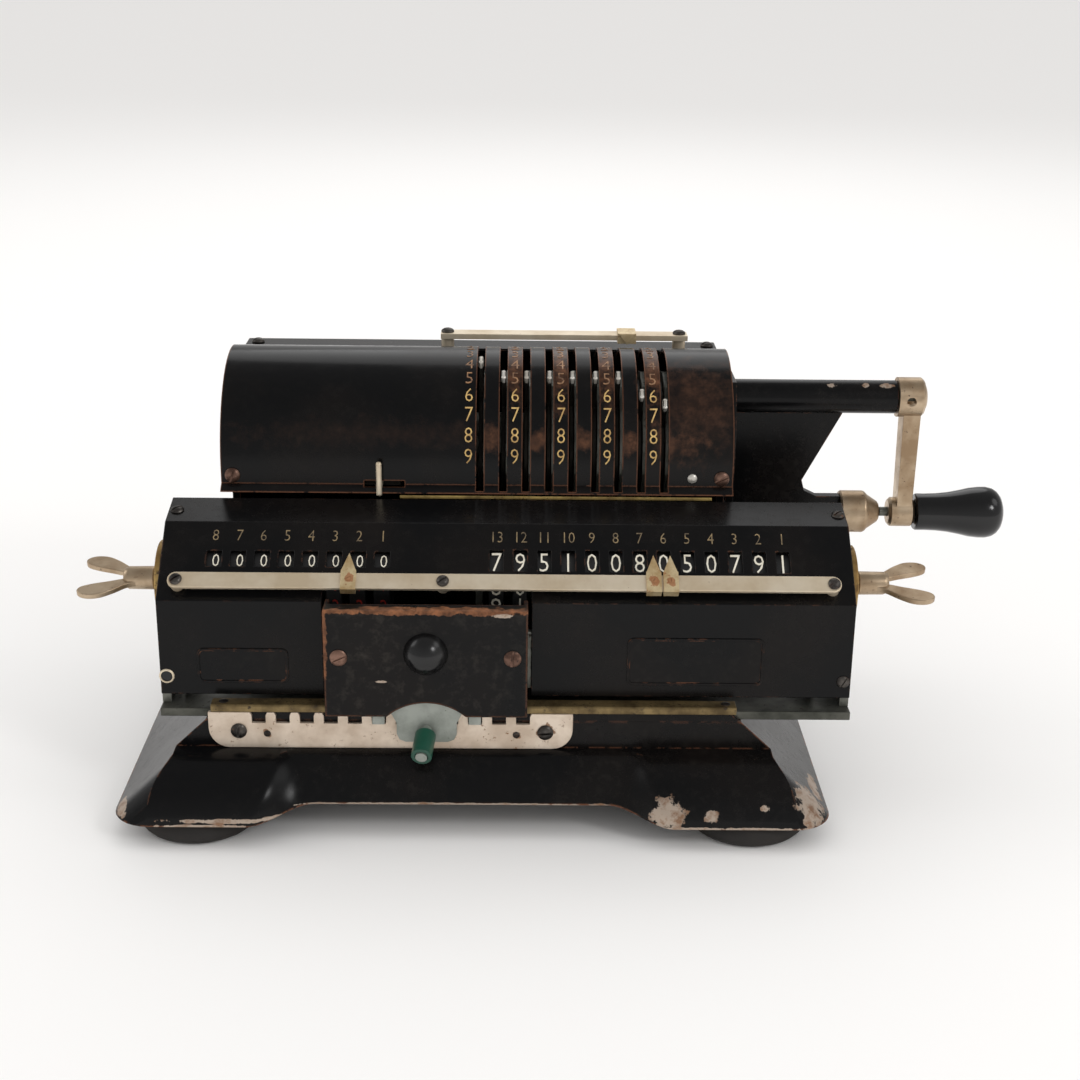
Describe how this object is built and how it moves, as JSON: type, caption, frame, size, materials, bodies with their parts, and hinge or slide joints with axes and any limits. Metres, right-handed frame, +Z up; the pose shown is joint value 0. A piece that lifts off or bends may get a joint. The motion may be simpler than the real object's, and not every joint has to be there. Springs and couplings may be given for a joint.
{
  "type": "pinwheel calculator",
  "caption": "Hand-cranked desktop pinwheel calculator with a slotted setting drum, a sliding register carriage and wing nuts that clear the registers.",
  "frame": {"origin": "centre of the whole outline, on the surface that the feet rest on", "axes": "+X to the right of a person using it, +Y to the rear, +Z up"},
  "size_m": [0.3276, 0.1596, 0.144],
  "materials": {
    "black_lacquer": "gloss",
    "worn_nickel": "satin",
    "bare_steel": "satin",
    "cream_nickel": "satin",
    "brass": "satin",
    "black_rubber": "matte",
    "black_handle": "gloss",
    "dark_steel": "satin",
    "figure_wheel": "matte"
  },
  "bodies": {
    "frame": {"base_shell": "black_lacquer", "rubber_feet": "black_rubber", "front_guide_rail": "brass", "rack_plate": "cream_nickel", "left_side_frame": "black_lacquer", "right_side_frame": "black_lacquer", "crank_bracket": "black_lacquer", "stop_cup": "worn_nickel", "drum_cover": "black_lacquer", "rear_cover": "black_lacquer", "top_pointer_rail": "cream_nickel", "lip_strip": "brass", "cover_screws": "dark_steel", "base_screws": "dark_steel"},
    "crank": {"crank_shaft": "bare_steel", "crank_arm": "worn_nickel"},
    "handle": {"crank_handle": "black_handle", "lock_pin": "bare_steel"},
    "rotor": {"rotor_shaft": "bare_steel", "pinwheel_1": "bare_steel", "pinwheel_2": "bare_steel", "pinwheel_3": "bare_steel", "pinwheel_4": "bare_steel", "pinwheel_5": "bare_steel", "pinwheel_6": "bare_steel", "pinwheel_7": "bare_steel", "pinwheel_8": "bare_steel", "pinwheel_9": "bare_steel"},
    "top_pointer": {"top_pointer": "cream_nickel"},
    "clearing_lever": {"clearing_lever": "cream_nickel"},
    "carriage": {"carriage_cover": "black_lacquer", "carriage_bed": "bare_steel", "carriage_ends": "bare_steel", "carriage_bearers": "bare_steel", "register_shafts": "bare_steel", "carriage_pointer_rail": "cream_nickel", "latch_shield": "black_lacquer", "shield_bracket": "bare_steel", "thumb_knob": "black_handle", "end_discs": "brass", "carriage_screws": "dark_steel"},
    "latch": {"latch_lever": "bare_steel", "latch_sleeve": "bare_steel"},
    "right_wing": {"right_wing_nut": "worn_nickel"},
    "results": {"result_wheels": "figure_wheel"},
    "idlers": {"idler_gears": "bare_steel"},
    "left_wing": {"left_wing_nut": "worn_nickel"},
    "counters": {"counter_wheels": "figure_wheel"},
    "ring_1": {"setting_ring_1": "bare_steel"},
    "ring_2": {"setting_ring_2": "bare_steel"},
    "ring_3": {"setting_ring_3": "bare_steel"},
    "ring_4": {"setting_ring_4": "bare_steel"},
    "ring_5": {"setting_ring_5": "bare_steel"},
    "ring_6": {"setting_ring_6": "bare_steel"},
    "ring_7": {"setting_ring_7": "bare_steel"},
    "ring_8": {"setting_ring_8": "bare_steel"},
    "ring_9": {"setting_ring_9": "bare_steel"},
    "rail_pointer_1": {"rail_pointer_1": "cream_nickel"},
    "rail_pointer_2": {"rail_pointer_2": "cream_nickel"},
    "rail_pointer_3": {"rail_pointer_3": "cream_nickel"}
  },
  "joints": [
    {"name": "crank_turn", "type": "hinge", "parent": "frame", "child": "crank", "pos_m": [0.11985, 0.02725, 0.1259], "axis": [1, 0, 0], "continuous": true},
    {"name": "handle_pull", "type": "slide", "parent": "crank", "child": "handle", "axis": [1, 0, 0], "range_m": [0, 0.005], "stiffness_N_per_m": 300, "springref_m": -0.004},
    {"name": "rotor_turn", "type": "hinge", "parent": "frame", "child": "rotor", "pos_m": [-0.03015, 0.02725, 0.1071], "axis": [1, 0, 0], "continuous": true},
    {"name": "carriage_slide", "type": "slide", "parent": "frame", "child": "carriage", "axis": [1, 0, 0], "range_m": [-0.04, 0.016]},
    {"name": "latch_lift", "type": "slide", "parent": "carriage", "child": "latch", "axis": [0, 0, 1], "range_m": [0, 0.005], "stiffness_N_per_m": 300, "springref_m": -0.004},
    {"name": "right_wing_turn", "type": "hinge", "parent": "carriage", "child": "right_wing", "pos_m": [0.09985, -0.03022, 0.07593], "axis": [1, 0, 0], "continuous": true},
    {"name": "results_turn", "type": "hinge", "parent": "carriage", "child": "results", "pos_m": [0.02985, -0.03022, 0.07593], "axis": [1, 0, 0], "continuous": true},
    {"name": "idlers_turn", "type": "hinge", "parent": "carriage", "child": "idlers", "pos_m": [0.02985, -0.00575, 0.07668], "axis": [1, 0, 0], "continuous": true},
    {"name": "left_wing_turn", "type": "hinge", "parent": "carriage", "child": "left_wing", "pos_m": [-0.13815, -0.03022, 0.07593], "axis": [1, 0, 0], "continuous": true},
    {"name": "counters_turn", "type": "hinge", "parent": "carriage", "child": "counters", "pos_m": [-0.09015, -0.03022, 0.07593], "axis": [1, 0, 0], "continuous": true},
    {"name": "rail_pointer_1_slide", "type": "slide", "parent": "carriage", "child": "rail_pointer_1", "axis": [1, 0, 0], "range_m": [-0.045, 0.025]},
    {"name": "rail_pointer_2_slide", "type": "slide", "parent": "carriage", "child": "rail_pointer_2", "axis": [1, 0, 0], "range_m": [-0.06, 0.0005]},
    {"name": "rail_pointer_3_slide", "type": "slide", "parent": "carriage", "child": "rail_pointer_3", "axis": [1, 0, 0], "range_m": [-0.0005, 0.045]},
    {"name": "top_pointer_slide", "type": "slide", "parent": "frame", "child": "top_pointer", "axis": [1, 0, 0], "range_m": [-0.06, 0.013]},
    {"name": "clearing_slide", "type": "slide", "parent": "frame", "child": "clearing_lever", "axis": [1, 0, 0], "range_m": [-0.0034, 0.0048]},
    {"name": "setting_1", "type": "hinge", "parent": "rotor", "child": "ring_1", "pos_m": [-0.02935, 0.02725, 0.1071], "axis": [1, 0, 0], "range_deg": [-48, 60]},
    {"name": "setting_2", "type": "hinge", "parent": "rotor", "child": "ring_2", "pos_m": [-0.02135, 0.02725, 0.1071], "axis": [1, 0, 0], "range_deg": [-60, 48]},
    {"name": "setting_3", "type": "hinge", "parent": "rotor", "child": "ring_3", "pos_m": [-0.01335, 0.02725, 0.1071], "axis": [1, 0, 0], "range_deg": [-60, 48]},
    {"name": "setting_4", "type": "hinge", "parent": "rotor", "child": "ring_4", "pos_m": [-0.00535, 0.02725, 0.1071], "axis": [1, 0, 0], "range_deg": [-60, 48]},
    {"name": "setting_5", "type": "hinge", "parent": "rotor", "child": "ring_5", "pos_m": [0.00265, 0.02725, 0.1071], "axis": [1, 0, 0], "range_deg": [-60, 48]},
    {"name": "setting_6", "type": "hinge", "parent": "rotor", "child": "ring_6", "pos_m": [0.01065, 0.02725, 0.1071], "axis": [1, 0, 0], "range_deg": [-60, 48]},
    {"name": "setting_7", "type": "hinge", "parent": "rotor", "child": "ring_7", "pos_m": [0.01865, 0.02725, 0.1071], "axis": [1, 0, 0], "range_deg": [-60, 48]},
    {"name": "setting_8", "type": "hinge", "parent": "rotor", "child": "ring_8", "pos_m": [0.02665, 0.02725, 0.1071], "axis": [1, 0, 0], "range_deg": [-72, 36]},
    {"name": "setting_9", "type": "hinge", "parent": "rotor", "child": "ring_9", "pos_m": [0.03465, 0.02725, 0.1071], "axis": [1, 0, 0], "range_deg": [-78, 30]}
  ],
  "couplings": [
    {"joint": "rotor_turn", "follows": "crank_turn", "ratio": -1},
    {"joint": "results_turn", "follows": "right_wing_turn", "ratio": 1},
    {"joint": "idlers_turn", "follows": "right_wing_turn", "ratio": -0.71429},
    {"joint": "counters_turn", "follows": "left_wing_turn", "ratio": 1}
  ]
}
